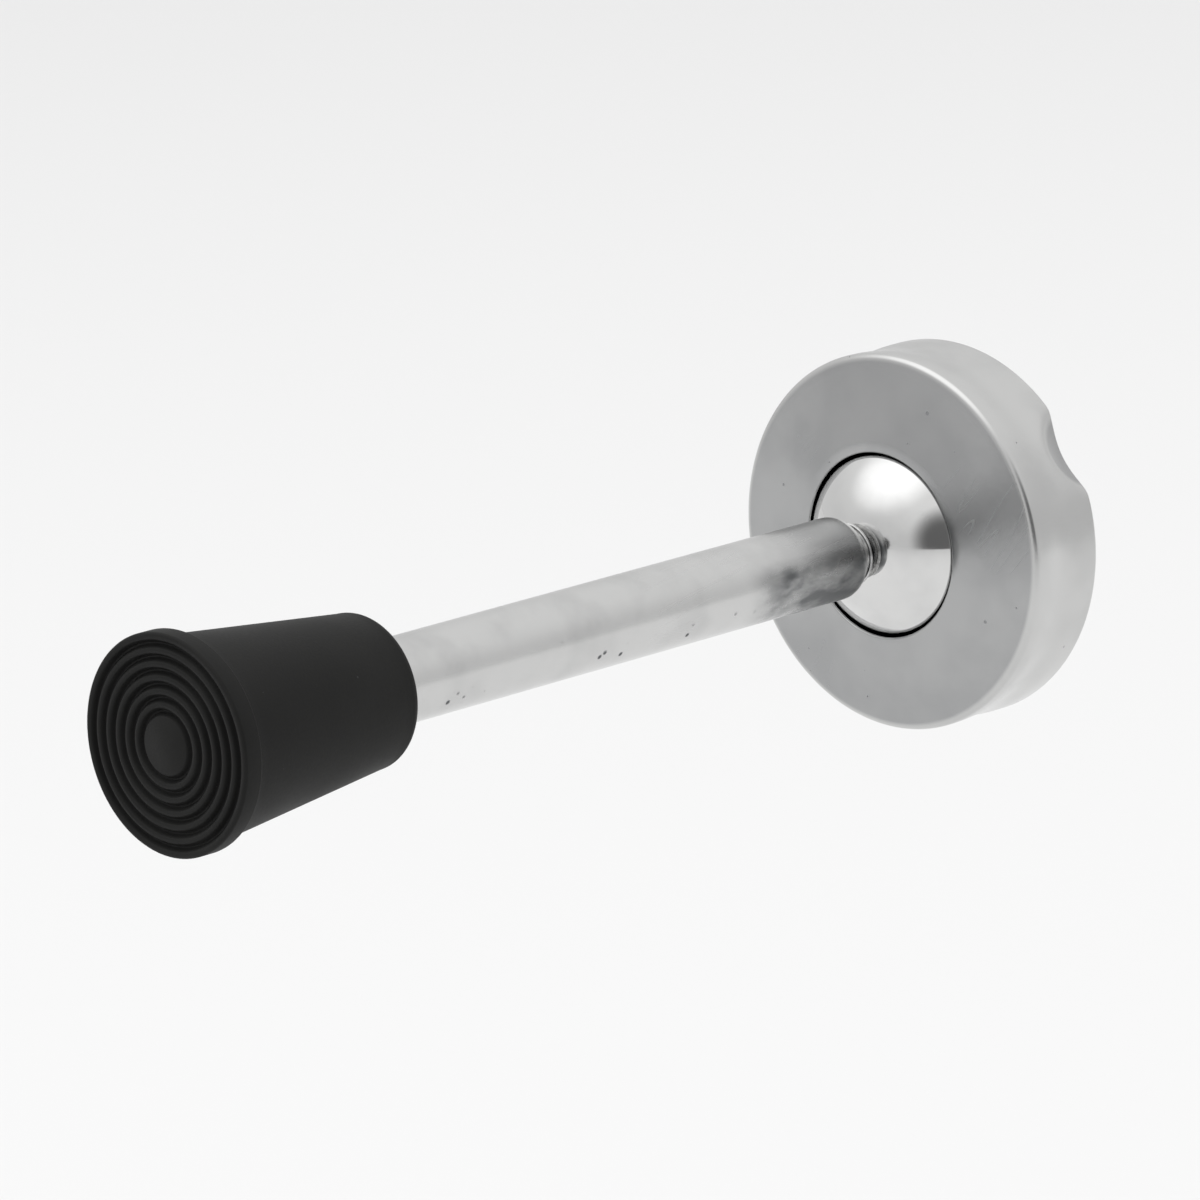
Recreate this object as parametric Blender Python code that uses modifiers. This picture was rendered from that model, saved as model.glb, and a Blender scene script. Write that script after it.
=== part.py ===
"""Door holder: a round rose on a door, a friction ball joint and an arm with a rubber ferrule.

The model is turned about the arm's axis.  Every piece is drawn in a local frame whose +Z runs
from the door along the arm, and one empty turns that frame so that the arm points to world -Y.
"""
import math

import bmesh
import bpy
from mathutils import Matrix, Vector

MM = 0.001

# ---- driving dimensions, in millimetres; "u" is the distance from the door's face ----
GAP = 0.35                     # clearance kept between neighbouring pieces
CHAMFER = 0.4                  # on plates and studs
SMALL_CHAMFER = 0.3            # on pins and tube ends
CUT_PAST = 1.0                 # how far a cutter reaches past what it cuts

ROSE_R = 27.5
ROSE_RIM_U = 13.5              # the face's level at the outer edge
ROSE_LIP_U = 15.5              # the face's level at the ball's opening
ROSE_EDGE = 1.0                # rounding of the front edge
ROSE_WALL = 3.0
ROSE_TOP = 2.4                 # thickness of the front wall
ROSE_CORNER = 1.2              # filled corner between the front wall and the side wall
OPENING_R = 13.5
OPENING_EDGE = 0.45            # rounding of the ball's opening
OPENING_WALL = 1.6             # how much wider the opening is behind its lip
COVE_DEPTH = 0.35              # waist round the side wall
COVE_U = (2.0, 11.6)
COVE_STEPS = 5

BALL_R = 16.4
BALL_WALL = 2.0
PIVOT_U = 5.2                  # the ball's centre, and the level of the pivot pin
CAP_TOP_ANGLE = 91.0           # how far the cap reaches down the sphere at its top side
CAP_BOTTOM_ANGLE = 57.0        # and at its underside, where the cap swings towards the base
CAP_CUT_R = 30.0               # the cutter that trims the cap, wider than the ball
CAP_CUT_DEPTH = 12.0
CORE_R = 13.0                  # the stem and lug inside this radius are left whole
CORE_REACH = 20.0
BALL_LOW_ANGLE = -8.0          # where the turned ball ends, below its equator
STEM_END_U = PIVOT_U - 0.2

BASE_R = ROSE_R - ROSE_WALL - GAP
BASE_T = 1.6
BASE_RIM_IN = 20.9
BASE_RIM_U = 7.0
RING_GROOVE_U = (4.95, 6.2)    # groove for the retaining ring
RING_GROOVE_R = BASE_RIM_IN + 1.3
RING_PLAY = 0.3                # between the retaining ring and the groove's faces
RING_R = RING_GROOVE_R - 0.4
RING_SPLIT = 3.0               # half of the split's width
DOOR_SCREW_ANGLES = (91.3, 211.3, 331.3)
DOOR_SCREW_TURN = 2.7          # keeps the holes' corners off the plate's own edges
DOOR_SCREW_CIRCLE = 15.5
DOOR_SCREW_HOLE_R = 2.1
DOOR_SCREW_HEAD_R = 3.1

ROTOR_R = 20.5
ROTOR_U = (2.7, 4.0)
SWIVEL_BORE_R = 17.4           # bore of the slip washer and the retaining ring
SLIP_T = 0.45
WAVE_R = (16.2, 19.8)
WAVE_T = 0.26
WAVE_LIFT = 0.08
WAVES = 3
SEAT_CORNER = 1.3
EAR_X = (5.45, 8.4)
EAR_HALF_Y = 3.0
EAR_FOOT_U = 3.2               # the ears start inside the disc
EAR_TOP_U = PIVOT_U + 2.9
LUG_WINDOW_HALF_Y = 5.2        # window under the ball's lug
END_WINDOW_HALF_Y = 3.4        # windows under the pin's head and its clip
END_WINDOW_PLAY = 0.8
FLUSH = 0.0001                 # keeps a cutter's end off the face it is level with

PIN_R = 1.4
PIN_HOLE_R = PIN_R + GAP
PIN_HEAD_R = 2.5
PIN_END_X = 10.4
PIN_GROOVE_R = 0.95
PIN_GROOVE_X = (EAR_X[1] + 0.3, EAR_X[1] + 1.4)
CROSS_REACH = 12.0             # half length of the cutters for the pin's holes
CLIP_X = EAR_X[1] + 0.62
CLIP_R = 2.6
CLIP_T = 0.5
CLIP_SLOT_HALF = 0.8
FRICTION_R = 2.9               # of the brass washers beside the lug

LUG_HALF_X = 3.95
LUG_R = 3.1
STEM_R = 3.9

NECK_R = 3.8
NECK_U = (BALL_R + PIVOT_U + 0.3, 23.2)
NECK_WAIST = 0.25
NECK_STEPS = 4
COLLAR_R = 4.7
COLLAR_T = 0.5
COLLAR_PLAY = 0.3
COLLAR_CHAMFER = 0.2
STUD_R = 2.4
STUD_HOLE_R = STUD_R + GAP
STUD_U = (16.0, 36.0)

TUBE_R = 6.0
TUBE_IN_R = 4.8
TUBE_U = (NECK_U[1] + GAP, 145.5)
SHOULDER = 2.4                 # rounding of the arm at the ball's end
TUBE_END_WALL = 1.6            # thickness of the arm's end round the stud
BUSH_END_U = STUD_U[1] - 1.5
FERRULE_WASHER_R = TUBE_R - 0.1
FERRULE_WASHER_T = 1.2

FERRULE_U = (120.0, 156.5)
FERRULE_SMALL_R = 10.75
FERRULE_LARGE_R = 14.0
FERRULE_EDGE = 1.4             # rounding of the small end
LIP_R = 15.0
LIP_H = 3.0
LIP_STEP = 0.4                 # slope from the lip to the taper
LIP_ROUND = 0.5
BORE_R = TUBE_R + GAP
BORE_END_U = 147.5
BORE_CHAMFER = 0.5
FOOT_GROOVES = (0.30, 0.42, 0.54, 0.66, 0.78, 0.90)   # groove middles, as shares of LIP_R
GROOVE_W = 0.9
GROOVE_D = 0.8

GRUB_ANGLES = (150.0, 270.0)   # where the rose's grub screws sit, in degrees
GRUB_U = 2.9
GRUB_R = 1.2
GRUB_RECESS = 0.25             # how deep the screws sit below the rose's side
GRUB_SOCKET_R = 0.62
GRUB_SOCKET_DEPTH = 1.1
GRUB_CHAMFER = 0.2

NOTCH_ANGLE = 34.0             # the release notch in the rose's rear edge
NOTCH_R = 14.3
NOTCH_CENTRE_R = 39.0
NOTCH_CENTRE_U = -3.0
NOTCH_SEGMENTS = (32, 20)

ROUND = 36                     # sides of the large turned pieces
SMALL = 16                     # sides of the small ones
ROSE_SIDES = 48
GRUB_SIDES = 12
SHARP_ANGLE = math.radians(35.0)
MERGE = 0.00001                # metres


# ---- scene, materials ----
def clear_scene():
    for item in list(bpy.data.objects):
        bpy.data.objects.remove(item, do_unlink=True)


def new_collection(name):
    collection = bpy.data.collections.new(name)
    bpy.context.scene.collection.children.link(collection)
    return collection


def metal(name, colour, roughness):
    return finish(name, colour, roughness, 1.0)


def finish(name, colour, roughness, metallic=0.0):
    material = bpy.data.materials.new(name)
    material.use_nodes = True
    shader = material.node_tree.nodes["Principled BSDF"]
    shader.inputs["Base Color"].default_value = (*colour, 1.0)
    shader.inputs["Roughness"].default_value = roughness
    shader.inputs["Metallic"].default_value = metallic
    return material


clear_scene()
PARTS = new_collection("floor_door_holder")
CUTTERS = new_collection("cutters")

FRAME = bpy.data.objects.new("door_frame", None)
FRAME.rotation_euler = (math.radians(90.0), 0.0, 0.0)
PARTS.objects.link(FRAME)


# ---- helpers ----
def add_object(name, mesh, material, location=(0, 0, 0)):
    item = bpy.data.objects.new(name, mesh)
    item.parent = FRAME
    item.location = Vector(location) * MM
    if material:
        mesh.materials.append(material)
        PARTS.objects.link(item)
    else:
        CUTTERS.objects.link(item)
        item.hide_render = True
        item.display_type = "WIRE"
    return item


def turned(name, outline, material, steps=SMALL, location=(0, 0, 0)):
    """A turned piece: the closed outline of (radius, height) points, spun about local Z."""
    mesh = bpy.data.meshes.new(name)
    points = [(radius * MM, 0.0, height * MM) for radius, height in outline]
    on_axis = outline[0][0] == 0.0
    edges = [(i, i + 1) for i in range(len(points) - 1)]
    if not on_axis:
        edges.append((len(points) - 1, 0))
    mesh.from_pydata(points, edges, [])
    item = add_object(name, mesh, material, location)
    screw = item.modifiers.new("turn", "SCREW")
    screw.axis = "Z"
    screw.steps = steps
    screw.render_steps = steps
    screw.use_merge_vertices = True
    screw.merge_threshold = MERGE
    screw.use_smooth_shade = True
    return item


def arc(centre, radius, start, end, count):
    """Points of an arc in the outline's plane, angles in degrees from the radius direction."""
    points = []
    for i in range(count + 1):
        angle = math.radians(start + (end - start) * i / count)
        x = centre[0] + radius * math.cos(angle)
        points.append((x, centre[1] + radius * math.sin(angle)))
    return points


def ring(r_in, r_out, low, high):
    return [(r_in, high), (r_out, high), (r_out, low), (r_in, low)]


def rod(radius, low, high):
    return [(0.0, high), (radius, high), (radius, low), (0.0, low)]


def box_cutter(name, low, high):
    mesh = bpy.data.meshes.new(name)
    shape = bmesh.new()
    bmesh.ops.create_cube(shape, size=MM)
    size = Vector(high) - Vector(low)
    middle = (Vector(high) + Vector(low)) / 2 * MM
    bmesh.ops.scale(shape, vec=size, verts=shape.verts)
    bmesh.ops.translate(shape, vec=middle, verts=shape.verts)
    shape.to_mesh(mesh)
    shape.free()
    return add_object(name, mesh, None)


def round_cutter(name, radius, low, high, turn, centre=(0, 0, 0), steps=SMALL):
    """A straight cylinder along its local Z, turned by a matrix and moved to its place."""
    mesh = bpy.data.meshes.new(name)
    shape = bmesh.new()
    bmesh.ops.create_cone(shape, cap_ends=True, segments=steps, radius1=radius * MM,
                          radius2=radius * MM, depth=(high - low) * MM)
    bmesh.ops.translate(shape, vec=(0, 0, (high + low) / 2 * MM), verts=shape.verts)
    bmesh.ops.transform(shape, matrix=turn, verts=shape.verts)
    bmesh.ops.translate(shape, vec=Vector(centre) * MM, verts=shape.verts)
    shape.to_mesh(mesh)
    shape.free()
    return add_object(name, mesh, None)


def boolean(item, other, operation):
    step = item.modifiers.new(operation.lower() + "_" + other.name, "BOOLEAN")
    step.operation = operation
    step.solver = "EXACT"
    step.object = other
    return item


def cut(item, *cutters):
    for cutter in cutters:
        boolean(item, cutter, "DIFFERENCE")
    return item


def join(item, *others):
    for other in others:
        boolean(item, other, "UNION")
    return item


ALONG_X = Matrix.Rotation(math.radians(90.0), 4, "Y")


def around(angle, radius, height):
    turn = math.radians(angle)
    return (radius * math.cos(turn), radius * math.sin(turn), height)


# ---- materials ----
satin_steel = metal("satin_steel", (0.42, 0.42, 0.41), 0.34)
polished_chrome = metal("polished_chrome", (0.62, 0.62, 0.61), 0.12)
zinc_steel = metal("zinc_steel", (0.50, 0.51, 0.52), 0.38)
spring_steel = metal("spring_steel", (0.22, 0.22, 0.23), 0.35)
black_nylon = finish("black_nylon", (0.02, 0.02, 0.02), 0.50)
brass = metal("brass", (0.60, 0.45, 0.20), 0.30)
black_rubber = finish("black_rubber", (0.018, 0.018, 0.020), 0.75)


# ---- the part that is screwed to the door ----
def base_plate():
    """Screw plate with an upstanding rim, a groove for the retaining ring and three holes."""
    groove_low, groove_high = RING_GROOVE_U
    outline = [
        (0.0, BASE_T), (BASE_RIM_IN, BASE_T), (BASE_RIM_IN, groove_low),
        (RING_GROOVE_R, groove_low), (RING_GROOVE_R, groove_high), (BASE_RIM_IN, groove_high),
        (BASE_RIM_IN, BASE_RIM_U),
        (BASE_R - CHAMFER, BASE_RIM_U), (BASE_R, BASE_RIM_U - CHAMFER), (BASE_R, 0.0),
        (0.0, 0.0)]
    plate = turned("base_plate", outline, zinc_steel, ROUND)
    depth = DOOR_SCREW_HEAD_R - DOOR_SCREW_HOLE_R
    profile = [(0.0, BASE_T + CUT_PAST), (DOOR_SCREW_HEAD_R + CUT_PAST, BASE_T + CUT_PAST),
               (DOOR_SCREW_HOLE_R, BASE_T - depth), (DOOR_SCREW_HOLE_R, -CUT_PAST),
               (0.0, -CUT_PAST)]
    for number, angle in enumerate(DOOR_SCREW_ANGLES, 1):
        place = around(angle, DOOR_SCREW_CIRCLE, 0.0)
        cutter = turned(f"door_screw_cutter_{number}", profile, None, SMALL, place)
        cutter.rotation_euler = (0.0, 0.0, math.radians(angle + DOOR_SCREW_TURN))
        cut(plate, cutter)
    return plate


def rose_outline():
    """The shell: front face, rounded edge, side wall with its waist, and the hollow behind."""
    wall_r = ROSE_R - ROSE_WALL
    low, high = COVE_U
    cove = []
    for i in range(COVE_STEPS + 1):
        share = i / COVE_STEPS
        depth = COVE_DEPTH * math.sin(math.pi * share) ** 2
        cove.append((ROSE_R - depth, high + (low - high) * share))
    lip = arc((OPENING_R + OPENING_EDGE, ROSE_LIP_U - OPENING_EDGE), OPENING_EDGE, 180, 90, 3)
    edge = arc((ROSE_R - ROSE_EDGE, ROSE_RIM_U - ROSE_EDGE), ROSE_EDGE, 80, 0, 4)
    return (lip + edge + cove
            + [(ROSE_R, CHAMFER), (ROSE_R - CHAMFER, 0.0), (wall_r, 0.0),
               (wall_r, ROSE_RIM_U - ROSE_TOP - ROSE_CORNER),
               (wall_r - ROSE_CORNER, ROSE_RIM_U - ROSE_TOP),
               (OPENING_R + OPENING_WALL, ROSE_LIP_U - ROSE_TOP)])


def radial(angle):
    """Turns local Z to the radius at an angle round the arm's axis."""
    return Matrix.Rotation(math.radians(angle), 4, "Z") @ ALONG_X


def rose():
    """Cover with the ball's opening, holes for its grub screws and the release notch."""
    shell = turned("rose", rose_outline(), satin_steel, ROSE_SIDES)
    start = ROSE_R - ROSE_WALL - CUT_PAST
    end = ROSE_R + CUT_PAST
    for number, angle in enumerate(GRUB_ANGLES, 1):
        name = f"grub_hole_cutter_{number}"
        hole = round_cutter(name, GRUB_R + GAP, start, end, radial(angle), (0, 0, GRUB_U))
        cut(shell, hole)
    mesh = bpy.data.meshes.new("notch_cutter")
    shape = bmesh.new()
    bmesh.ops.create_uvsphere(shape, u_segments=NOTCH_SEGMENTS[0],
                              v_segments=NOTCH_SEGMENTS[1], radius=NOTCH_R * MM)
    shape.to_mesh(mesh)
    shape.free()
    place = around(NOTCH_ANGLE, NOTCH_CENTRE_R, NOTCH_CENTRE_U)
    return cut(shell, add_object("notch_cutter", mesh, None, place))


def grub_screws():
    """Two headless screws that hold the rose on the base plate's rim."""
    r_in = BASE_R + GAP
    r_out = ROSE_R - GRUB_RECESS
    socket_end = r_out - GRUB_SOCKET_DEPTH
    outline = [(0.0, socket_end), (GRUB_SOCKET_R, socket_end), (GRUB_SOCKET_R, r_out),
               (GRUB_R - GRUB_CHAMFER, r_out), (GRUB_R, r_out - GRUB_CHAMFER),
               (GRUB_R, r_in + SMALL_CHAMFER), (GRUB_R - SMALL_CHAMFER, r_in), (0.0, r_in)]
    for number, angle in enumerate(GRUB_ANGLES, 1):
        name = f"rose_screw_{number}"
        screw = turned(name, outline, spring_steel, GRUB_SIDES, (0, 0, GRUB_U))
        screw.rotation_euler = radial(angle).to_euler()


def seat_ring():
    """Nylon seat: its inner face follows the ball, and the rose holds it from the front."""
    r_face = BALL_R + GAP
    top = ROSE_RIM_U - ROSE_TOP - GAP
    low = BASE_RIM_U + GAP
    start = math.degrees(math.asin((low - PIVOT_U) / r_face))
    end = math.degrees(math.asin((top - PIVOT_U) / r_face))
    inner = arc((0.0, PIVOT_U), r_face, start, end, 6)
    r_out = ROSE_R - ROSE_WALL - GAP
    outer = [(r_out - SEAT_CORNER, top), (r_out, top - SEAT_CORNER), (r_out, low)]
    return turned("seat_ring", inner + outer, black_nylon, ROUND)


# ---- the swivel inside ----
def wave_washer():
    """Thin spring washer with three shallow waves that presses the rotor forwards."""
    middle = (BASE_T + ROTOR_U[0]) / 2
    section = ring(*WAVE_R, middle - WAVE_T / 2, middle + WAVE_T / 2)
    mesh = bpy.data.meshes.new("wave_washer")
    shape = bmesh.new()
    corners = [shape.verts.new(Vector((r, 0, h)) * MM) for r, h in section]
    sides = [shape.edges.new((corners[i - 1], corners[i])) for i in range(4)]
    bmesh.ops.spin(shape, geom=corners + sides, cent=(0, 0, 0), axis=(0, 0, 1),
                   angle=2 * math.pi, steps=ROUND, use_merge=True)
    bmesh.ops.remove_doubles(shape, verts=shape.verts, dist=MERGE)
    bmesh.ops.recalc_face_normals(shape, faces=shape.faces)
    for vertex in shape.verts:
        turn = math.atan2(vertex.co.y, vertex.co.x)
        vertex.co.z += WAVE_LIFT * MM * math.sin(WAVES * turn)
    shape.to_mesh(mesh)
    shape.free()
    mesh.shade_smooth()
    mesh.set_sharp_from_angle(angle=SHARP_ANGLE)
    return add_object("wave_washer", mesh, spring_steel)


def slip_washer():
    """Thin nylon washer that the rotor slides on, under the retaining ring."""
    low = ROTOR_U[1] + GAP
    outline = ring(SWIVEL_BORE_R, ROTOR_R, low, low + SLIP_T)
    return turned("slip_washer", outline, black_nylon, ROUND)


def retaining_ring():
    """Split spring ring in the base plate's groove."""
    low = RING_GROOVE_U[0] + RING_PLAY
    high = RING_GROOVE_U[1] - RING_PLAY
    piece = turned("retaining_ring", ring(SWIVEL_BORE_R, RING_R, low, high), spring_steel, ROUND)
    split = box_cutter("ring_split_cutter",
                       (-RING_SPLIT, -RING_R - CUT_PAST, low - CUT_PAST),
                       (RING_SPLIT, CUT_PAST - SWIVEL_BORE_R, high + CUT_PAST))
    return cut(piece, split)


def rotor():
    """Swivel carrier: a disc with two ears for the pivot pin and windows for what hangs low."""
    carrier = turned("rotor", rod(ROTOR_R, *ROTOR_U), zinc_steel, ROUND)
    low_x, high_x = EAR_X
    for side in (-1, 1):
        inner, outer = sorted((side * low_x, side * high_x))
        join(carrier, box_cutter(f"ear_shape_{side + 2}", (inner, -EAR_HALF_Y, EAR_FOOT_U),
                                 (outer, EAR_HALF_Y, EAR_TOP_U)))
    far_x = PIN_END_X + END_WINDOW_PLAY
    windows = [("middle", -low_x, low_x, LUG_WINDOW_HALF_Y),
               ("head", -far_x, -high_x, END_WINDOW_HALF_Y),
               ("clip", high_x, far_x, END_WINDOW_HALF_Y)]
    for name, start, end, half_y in windows:
        cut(carrier, box_cutter(f"window_{name}", (start, -half_y, 0.0),
                                (end, half_y, ROTOR_U[1] + FLUSH)))
    hole = round_cutter("ear_hole_cutter", PIN_HOLE_R, -CROSS_REACH, CROSS_REACH, ALONG_X,
                        (0, 0, PIVOT_U))
    return cut(carrier, hole)


def pivot_pin():
    """Headed pin with a groove for its clip; it lies along local X through the ball's centre."""
    head_x = EAR_X[1] + GAP
    groove_low, groove_high = PIN_GROOVE_X
    outline = [(0.0, PIN_END_X), (PIN_R - SMALL_CHAMFER, PIN_END_X),
               (PIN_R, PIN_END_X - SMALL_CHAMFER), (PIN_R, groove_high),
               (PIN_GROOVE_R, groove_high), (PIN_GROOVE_R, groove_low), (PIN_R, groove_low),
               (PIN_R, -head_x), (PIN_HEAD_R, -head_x), (PIN_HEAD_R, CHAMFER - PIN_END_X),
               (PIN_HEAD_R - CHAMFER, -PIN_END_X), (0.0, -PIN_END_X)]
    pin = turned("pivot_pin", outline, zinc_steel, SMALL, (0, 0, PIVOT_U))
    pin.rotation_euler = ALONG_X.to_euler()
    return pin


def pin_clip():
    """Slotted clip in the pin's groove."""
    outline = ring(PIN_GROOVE_R + GAP, CLIP_R, CLIP_X, CLIP_X + CLIP_T)
    clip = turned("pin_clip", outline, spring_steel, SMALL, (0, 0, PIVOT_U))
    clip.rotation_euler = ALONG_X.to_euler()
    slot = box_cutter("clip_slot_cutter",
                      (CLIP_X - CUT_PAST, -CLIP_SLOT_HALF, PIVOT_U),
                      (CLIP_X + CLIP_T + CUT_PAST, CLIP_SLOT_HALF, PIVOT_U + CLIP_R + CUT_PAST))
    return cut(clip, slot)


def friction_washer(name, side):
    """Brass washer between the ball's lug and an ear; the pair holds the arm where it is put."""
    inner = LUG_HALF_X + GAP
    outer = EAR_X[0] - GAP
    low, high = sorted((side * inner, side * outer))
    outline = ring(PIN_HOLE_R, FRICTION_R, low, high)
    washer = turned(name, outline, brass, SMALL, (0, 0, PIVOT_U))
    washer.rotation_euler = ALONG_X.to_euler()
    return washer


# ---- the arm ----
def ball_outline():
    """Half section of the hollow ball with its stem and the blind hole for the stud."""
    inner_r = BALL_R - BALL_WALL
    stud_low = STUD_U[0] - GAP
    stud_top = PIVOT_U + math.sqrt(BALL_R ** 2 - STUD_HOLE_R ** 2)
    polar = math.degrees(math.acos(STUD_HOLE_R / BALL_R))
    stem_angle = math.degrees(math.acos(STEM_R / inner_r))
    outer = arc((0.0, PIVOT_U), BALL_R, polar, BALL_LOW_ANGLE, 13)
    inner = arc((0.0, PIVOT_U), inner_r, BALL_LOW_ANGLE, stem_angle, 8)
    stem = [(STEM_R, STEM_END_U), (0.0, STEM_END_U)]
    stud_hole = [(0.0, stud_low), (STUD_HOLE_R, stud_low), (STUD_HOLE_R, stud_top)]
    return stud_hole + outer[1:] + inner + stem


def ball():
    """Hollow ball with the pin's lug, trimmed on a slope so that it can swing down."""
    piece = turned("ball", ball_outline(), polished_chrome, ROUND)
    lug = round_cutter("lug_shape", LUG_R, -LUG_HALF_X, LUG_HALF_X, ALONG_X, (0, 0, PIVOT_U))
    join(piece, lug)
    top = math.radians(CAP_TOP_ANGLE)
    bottom = math.radians(CAP_BOTTOM_ANGLE)
    top_point = Vector((0, math.sin(top), math.cos(top))) * BALL_R
    bottom_point = Vector((0, -math.sin(bottom), math.cos(bottom))) * BALL_R
    slope = (top_point - bottom_point).normalized()
    turn = Matrix.Rotation(math.atan2(slope.z, slope.y), 4, "X")
    middle = (top_point + bottom_point) / 2 + Vector((0, 0, PIVOT_U))
    skirt = round_cutter("cap_cutter", CAP_CUT_R, -CAP_CUT_DEPTH, 0.0, turn, middle, ROUND)
    core = round_cutter("core_keeper", CORE_R, -CORE_REACH, CORE_REACH, turn,
                        (0, 0, PIVOT_U), ROUND)
    cut(skirt, core)
    cut(piece, skirt)
    hole = round_cutter("lug_hole_cutter", PIN_HOLE_R, -CROSS_REACH, CROSS_REACH, ALONG_X,
                        (0, 0, PIVOT_U))
    return cut(piece, hole)


def neck_stud():
    """Threaded stud with the waisted neck that shows between the ball and the arm."""
    low, high = NECK_U
    start, end = STUD_U
    waist = []
    for i in range(NECK_STEPS + 1):
        share = i / NECK_STEPS
        radius = NECK_R - NECK_WAIST * math.sin(math.pi * share)
        waist.append((radius, high + (low - high) * share))
    top = [(0.0, end), (STUD_R - CHAMFER, end), (STUD_R, end - CHAMFER), (STUD_R, high)]
    bottom = [(STUD_R, low), (STUD_R, start + CHAMFER), (STUD_R - CHAMFER, start), (0.0, start)]
    outline = top + waist + bottom
    return turned("neck_stud", outline, polished_chrome, SMALL)


def stud_collar():
    """Thin ring on the neck, next to the ball."""
    low = NECK_U[0] + GAP
    high = low + COLLAR_T
    bore = NECK_R + COLLAR_PLAY
    edge = COLLAR_CHAMFER
    outline = [(bore, high), (COLLAR_R - edge, high), (COLLAR_R, high - edge),
               (COLLAR_R, low + edge), (COLLAR_R - edge, low), (bore, low)]
    return turned("stud_collar", outline, polished_chrome, SMALL)


def tube_bush():
    """Threaded bush pressed into the arm; the stud screws into it."""
    low = TUBE_U[0] + TUBE_END_WALL + GAP
    outline = ring(STUD_HOLE_R, TUBE_IN_R - GAP, low, BUSH_END_U)
    return turned("tube_bush", outline, brass, SMALL)


def arm_tube():
    """The arm: a tube whose ball end turns in to a shoulder round the stud."""
    low, high = TUBE_U
    shoulder = arc((TUBE_R - SHOULDER, low + SHOULDER), SHOULDER, 0, -90, 5)
    end_wall = low + TUBE_END_WALL
    outline = ([(TUBE_IN_R, high), (TUBE_R - SMALL_CHAMFER, high), (TUBE_R, high - SMALL_CHAMFER)]
               + shoulder + [(STUD_HOLE_R, low), (STUD_HOLE_R, end_wall), (TUBE_IN_R, end_wall)])
    return turned("arm_tube", outline, polished_chrome, ROUND)


def ferrule_washer():
    """Steel disc that keeps the arm's end from cutting through the rubber."""
    low = TUBE_U[1] + GAP
    outline = rod(FERRULE_WASHER_R, low, low + FERRULE_WASHER_T)
    return turned("ferrule_washer", outline, zinc_steel, SMALL)


def rubber_ferrule():
    """Tapered ferrule with a proud end lip and concentric grooves in its foot."""
    low, high = FERRULE_U
    half = GROOVE_W / 2
    small_edge = arc((FERRULE_SMALL_R - FERRULE_EDGE, low + FERRULE_EDGE), FERRULE_EDGE, 10, -90, 4)
    foot = []
    for share in FOOT_GROOVES:
        middle = share * LIP_R
        foot += [(middle - half, high), (middle, high - GROOVE_D), (middle + half, high)]
    lip = arc((LIP_R - LIP_ROUND, high - LIP_ROUND), LIP_ROUND, 90, 0, 2)
    step = [(LIP_R, high - LIP_H), (FERRULE_LARGE_R, high - LIP_H - LIP_STEP)]
    bore = [(BORE_R + BORE_CHAMFER, low), (BORE_R, low + BORE_CHAMFER), (BORE_R, BORE_END_U),
            (0.0, BORE_END_U)]
    outline = [(0.0, high)] + foot + lip + step + small_edge + bore
    return turned("rubber_ferrule", outline, black_rubber, ROUND)


base_plate()
rose()
grub_screws()
seat_ring()
wave_washer()
slip_washer()
retaining_ring()
rotor()
pivot_pin()
pin_clip()
friction_washer("friction_washer_left", -1)
friction_washer("friction_washer_right", 1)
ball()
neck_stud()
stud_collar()
tube_bush()
arm_tube()
ferrule_washer()
rubber_ferrule()
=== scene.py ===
"""Looks of the door holder: its turned steel, polished ball and arm, and moulded rubber foot."""
import math

import bmesh
import bpy
from mathutils import Matrix, Vector


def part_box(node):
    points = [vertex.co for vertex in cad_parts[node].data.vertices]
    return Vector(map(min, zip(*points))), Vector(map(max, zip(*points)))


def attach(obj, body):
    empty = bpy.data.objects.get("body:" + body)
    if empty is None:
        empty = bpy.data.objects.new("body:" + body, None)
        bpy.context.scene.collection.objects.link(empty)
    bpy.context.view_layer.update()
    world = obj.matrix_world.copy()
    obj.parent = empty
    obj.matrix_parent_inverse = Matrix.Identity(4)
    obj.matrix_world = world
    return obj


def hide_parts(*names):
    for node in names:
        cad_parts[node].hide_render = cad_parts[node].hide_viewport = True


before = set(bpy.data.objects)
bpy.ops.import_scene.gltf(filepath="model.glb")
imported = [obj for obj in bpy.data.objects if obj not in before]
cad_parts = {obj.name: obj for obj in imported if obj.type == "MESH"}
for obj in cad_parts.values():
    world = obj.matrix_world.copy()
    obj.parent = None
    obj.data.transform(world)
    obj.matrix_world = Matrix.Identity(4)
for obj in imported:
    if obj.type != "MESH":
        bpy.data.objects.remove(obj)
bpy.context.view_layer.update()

MM = 0.001
OUTWARD = Matrix.Rotation(math.radians(90.0), 4, "X")      # local +Z along the arm, away from the door

# ---- sizes in millimetres; "u" is the distance from the door, and follows the frame ----
ROSE_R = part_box("rose")[1][0] / MM
ROSE_LIP_U = -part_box("rose")[0][1] / MM
ROSE_DISH = 2.0      # how far the face falls from the opening's lip to the rim
ROSE_RIM_U = ROSE_LIP_U - ROSE_DISH
ROSE_WALL = 3.0
ROSE_TOP = 2.4
ROSE_LIP_ROUND = 0.35
ROSE_EDGE_ROUND = 1.0
ROSE_FOOT_ROUND = 0.4
ROSE_INNER_SLOPE = 1.2
OPENING_R = 13.5
OPENING_STEP = 1.6
COVE_DEPTH = 0.35
COVE_U = (2.0, 11.6)
COVE_STEPS = 24
GRUB_ANGLES = (150.0, 270.0)
GRUB_U = 2.9
GRUB_HOLE_R = 1.55
GRUB_DRILL = (20.0, 30.0)
NOTCH = {"angle": 34.0, "radius": 14.3, "centre_r": 39.0, "centre_u": -3.0}
NOTCH_EASE = 0.35    # how softly the brim of the notch runs out
NOTCH_REACH = 1.2    # how far past the notch the brim still bends
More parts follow.
